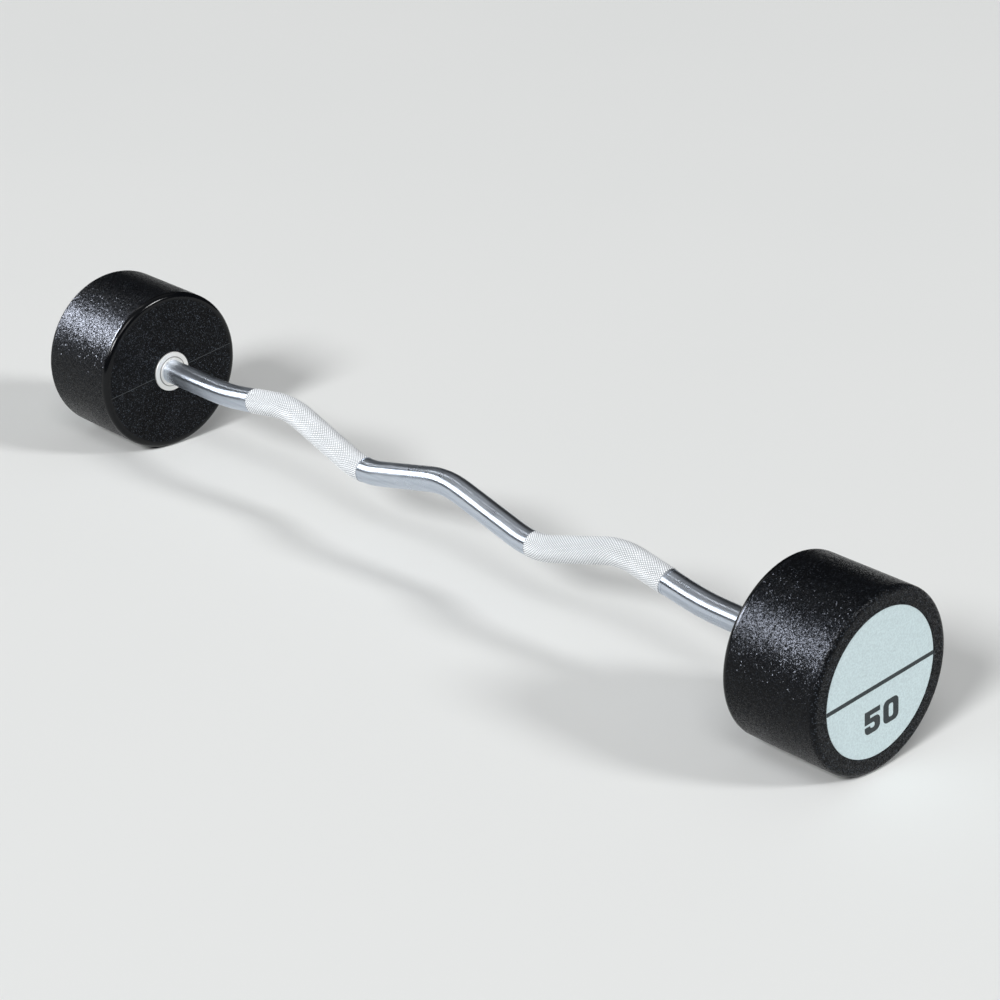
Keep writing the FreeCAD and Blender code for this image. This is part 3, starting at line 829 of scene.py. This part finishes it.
def make_seam(name, outward):
    """The ridge on one head's inner face, in two stretches."""
    bm = bmesh.new()
    for side in (-1, 1):
        ridge = bmesh.ops.create_cube(bm, size=1)["verts"]
        bmesh.ops.scale(bm, verts=ridge, vec=(2 * SEAM_HEIGHT, seam_outer - seam_inner, SEAM_WIDTH))
        middle = side * (seam_inner + seam_outer) / 2
        bmesh.ops.translate(bm, verts=ridge, vec=(outward * head_low.x, middle, 0))
    crests = [edge for edge in bm.edges if all(abs(vert.co.x) < head_low.x for vert in edge.verts)]
    bmesh.ops.bevel(
        bm, geom=crests, offset=SEAM_HEIGHT / 2, offset_type="OFFSET", segments=2, profile=0.5,
        affect="EDGES", material=-1)
    bmesh.ops.rotate(bm, verts=bm.verts[:], cent=(0, 0, 0), matrix=Matrix.Rotation(SEAM_LEAN, 3, "X"))
    add_piece(name, bm, seam_finish)


make_seam("left_mould_seam", outward=-1)
make_seam("right_mould_seam", outward=1)

# %% [markdown]
# ## Studio
# The floor is a wide sheet of pale paper, matt and very slightly uneven. It could curve up into a
# backdrop, but the camera looks down, so a flat grid that reaches far past the picture's edges is enough.

# %% Floor
FLOOR_REACH = 20.0


def make_paper():
    """Matt pale paper with a faint unevenness."""
    material, tree, shader, place = new_material("studio_paper", Roughness=0.8)
    cloud = put(tree, "TexNoise", {"Vector": place, "Scale": 1.2, "Detail": 2.0}).outputs["Fac"]
    tree.links.new(shade(tree, cloud, (0.76, 0.775, 0.77), (0.79, 0.80, 0.795)), shader["Base Color"])
    return material


floor_mesh = bpy.data.meshes.new("studio_floor")
floor_bm = bmesh.new()
bmesh.ops.create_grid(
    floor_bm, x_segments=1, y_segments=1, size=FLOOR_REACH, matrix=Matrix.Translation((0, 0, floor_height)))
floor_bm.to_mesh(floor_mesh)
floor_bm.free()
floor_mesh.materials.append(make_paper())
studio_floor = bpy.data.objects.new("studio_floor", floor_mesh)
bpy.context.scene.collection.objects.link(studio_floor)
print(f"floor reaches {FLOOR_REACH:.0f} m each way")

# %% [markdown]
# Each head throws a soft shadow to both sides, so there are two main lights: one to the left, behind the
# camera, and one to the right. Near lamps would light one head more than the other, so both are sun
# lamps, whose light is parallel. A sun's angle sets how soft its shadows are. A large area lamp, far away
# and high behind the camera, fills in between. Directions are given as a photographer would give them:
# degrees to the right of where the camera looks, and degrees above the floor.

# %% Lights
def studio_direction(right_of_view, above_floor):
    """A unit vector from two angles in degrees."""
    turn = CAMERA_TURN - math.radians(right_of_view)
    rise = math.radians(above_floor)
    return Vector((-math.sin(turn) * math.cos(rise), math.cos(turn) * math.cos(rise), math.sin(rise)))


def add_lamp(name, kind, direction, strength, distance=4.0, target=(0, 0, 0)):
    """A lamp in a direction, facing a target."""
    lamp = bpy.data.lights.new(name, kind)
    lamp.energy = strength
    holder = bpy.data.objects.new(name, lamp)
    holder.location = Vector(target) + direction * distance
    holder.rotation_mode = "QUATERNION"
    holder.rotation_quaternion = direction.to_track_quat("Z", "Y")
    bpy.context.scene.collection.objects.link(holder)
    print(f"{name}: {kind.lower()}, {strength}")
    return holder


front_light = add_lamp("front_light", "SUN", studio_direction(-148, 34), strength=2.42)
front_light.data.angle = math.radians(15)
right_light = add_lamp("right_light", "SUN", studio_direction(112, 32), strength=1.47)
right_light.data.angle = math.radians(12)
high_light = add_lamp("high_light", "AREA", studio_direction(180, 51), strength=360, distance=12.0)
high_light.data.size = 4.8

# %% [markdown]
# Chrome shows the studio, so the bright bands along the bar are two panels: a broad one on the left, and
# higher up a thin strip whose long side runs with the bar. Panels that are strong enough to show in the
# chrome would also wash out the shadows on the floor. Blender can hide a lamp from diffuse light, so
# these show only in reflections.

# %% Reflectors
def make_panel(lamp, length, width):
    """Make an area lamp a panel that shows only in reflections."""
    lamp.visible_diffuse = False
    lamp.data.shape = "RECTANGLE"
    lamp.data.size, lamp.data.size_y = length, width


reflector = add_lamp("left_reflector", "AREA", studio_direction(-80, 24), strength=85)
reflector.data.color = (0.93, 0.96, 1.0)
make_panel(reflector, length=3.3, width=1.0)

# The strip's long side is the bar's direction, less what points at the lamp
strip_direction = studio_direction(-40, 46)
strip_along = (Vector((1, 0, 0)) - strip_direction * strip_direction.x).normalized()
strip_across = strip_direction.cross(strip_along)
strip = add_lamp("strip_reflector", "AREA", strip_direction, strength=10)
strip_axes = Matrix((strip_along, strip_across, strip_direction)).transposed()
strip.rotation_quaternion = strip_axes.to_quaternion()
make_panel(strip, length=4.0, width=0.16)

# %% [markdown]
# The heads sparkle where their facets catch a strong light, which would bleach the knurled grips beside
# them. A lamp's light linking names the pieces that it reaches, so each spot below lights one head's
# jacket and nothing else. Two stand where the side of a head mirrors them to the camera. The third is
# behind the camera, to its left, and spreads the sparkle on the right head towards the outer edge.

# %% Head spots
SPOT_DISTANCE = 3.0
SPOT_RADIUS = 0.5
SPOT_CONE = math.radians(24)
SPOT_BLEND = 0.3
SPOT_COLOUR = (0.78, 0.84, 1.0)

head_middle = (head_low.x + head_high.x) / 2


def add_head_spot(name, jacket, place, direction, strength):
    """A spot that shows in the sheen of one jacket and lights nothing else."""
    spot = add_lamp(name, "SPOT", direction, strength, distance=SPOT_DISTANCE, target=(place, 0, 0))
    spot.visible_diffuse = False
    spot.data.color = SPOT_COLOUR
    spot.data.shadow_soft_size = SPOT_RADIUS
    spot.data.spot_size = SPOT_CONE
    spot.data.spot_blend = SPOT_BLEND
    lit_skin = bpy.data.collections.new(f"{name}_skin")
    lit_skin.objects.link(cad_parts[jacket])
    spot.light_linking.receiver_collection = lit_skin


add_head_spot("left_head_spot", "left_head_jacket", -head_middle, studio_direction(-73, 28), strength=1000)
add_head_spot("right_head_spot", "right_head_jacket", head_middle, studio_direction(-92, 31), strength=900)
add_head_spot("right_edge_spot", "right_head_jacket", head_middle, studio_direction(-140, 38), strength=600)

# %% [markdown]
# The room gives the rest. Its ceiling is pale and fills the shadows from above, and its walls are dark,
# which is what the chrome shows along its upper edge. A world shader has no object to take coordinates
# from, so the height of each direction comes from the generated ones.

# %% The room
WALL_LIGHT = 0.035
CEILING_LIGHT = 0.24
# Heights of a direction: nought is level and one is straight up
WALL_TOP = 0.68
CEILING_EDGE = 0.78


def make_room():
    """A world that is dark at eye level and pale overhead."""
    room = bpy.data.worlds.new("room")
    room.use_nodes = True
    tree = room.node_tree
    direction = put(tree, "TexCoord").outputs["Generated"]
    height = put(tree, "SeparateXYZ", {"Vector": direction}).outputs["Z"]
    strength = step(tree, height, WALL_TOP, CEILING_EDGE, WALL_LIGHT, CEILING_LIGHT)
    background = tree.nodes["Background"].inputs
    background["Color"].default_value = (1, 1, 1, 1)
    tree.links.new(strength, background["Strength"])
    return room


bpy.context.scene.world = make_room()
bpy.context.scene.view_settings.view_transform = "Standard"
print(f"walls {WALL_LIGHT}, ceiling {CEILING_LIGHT}")
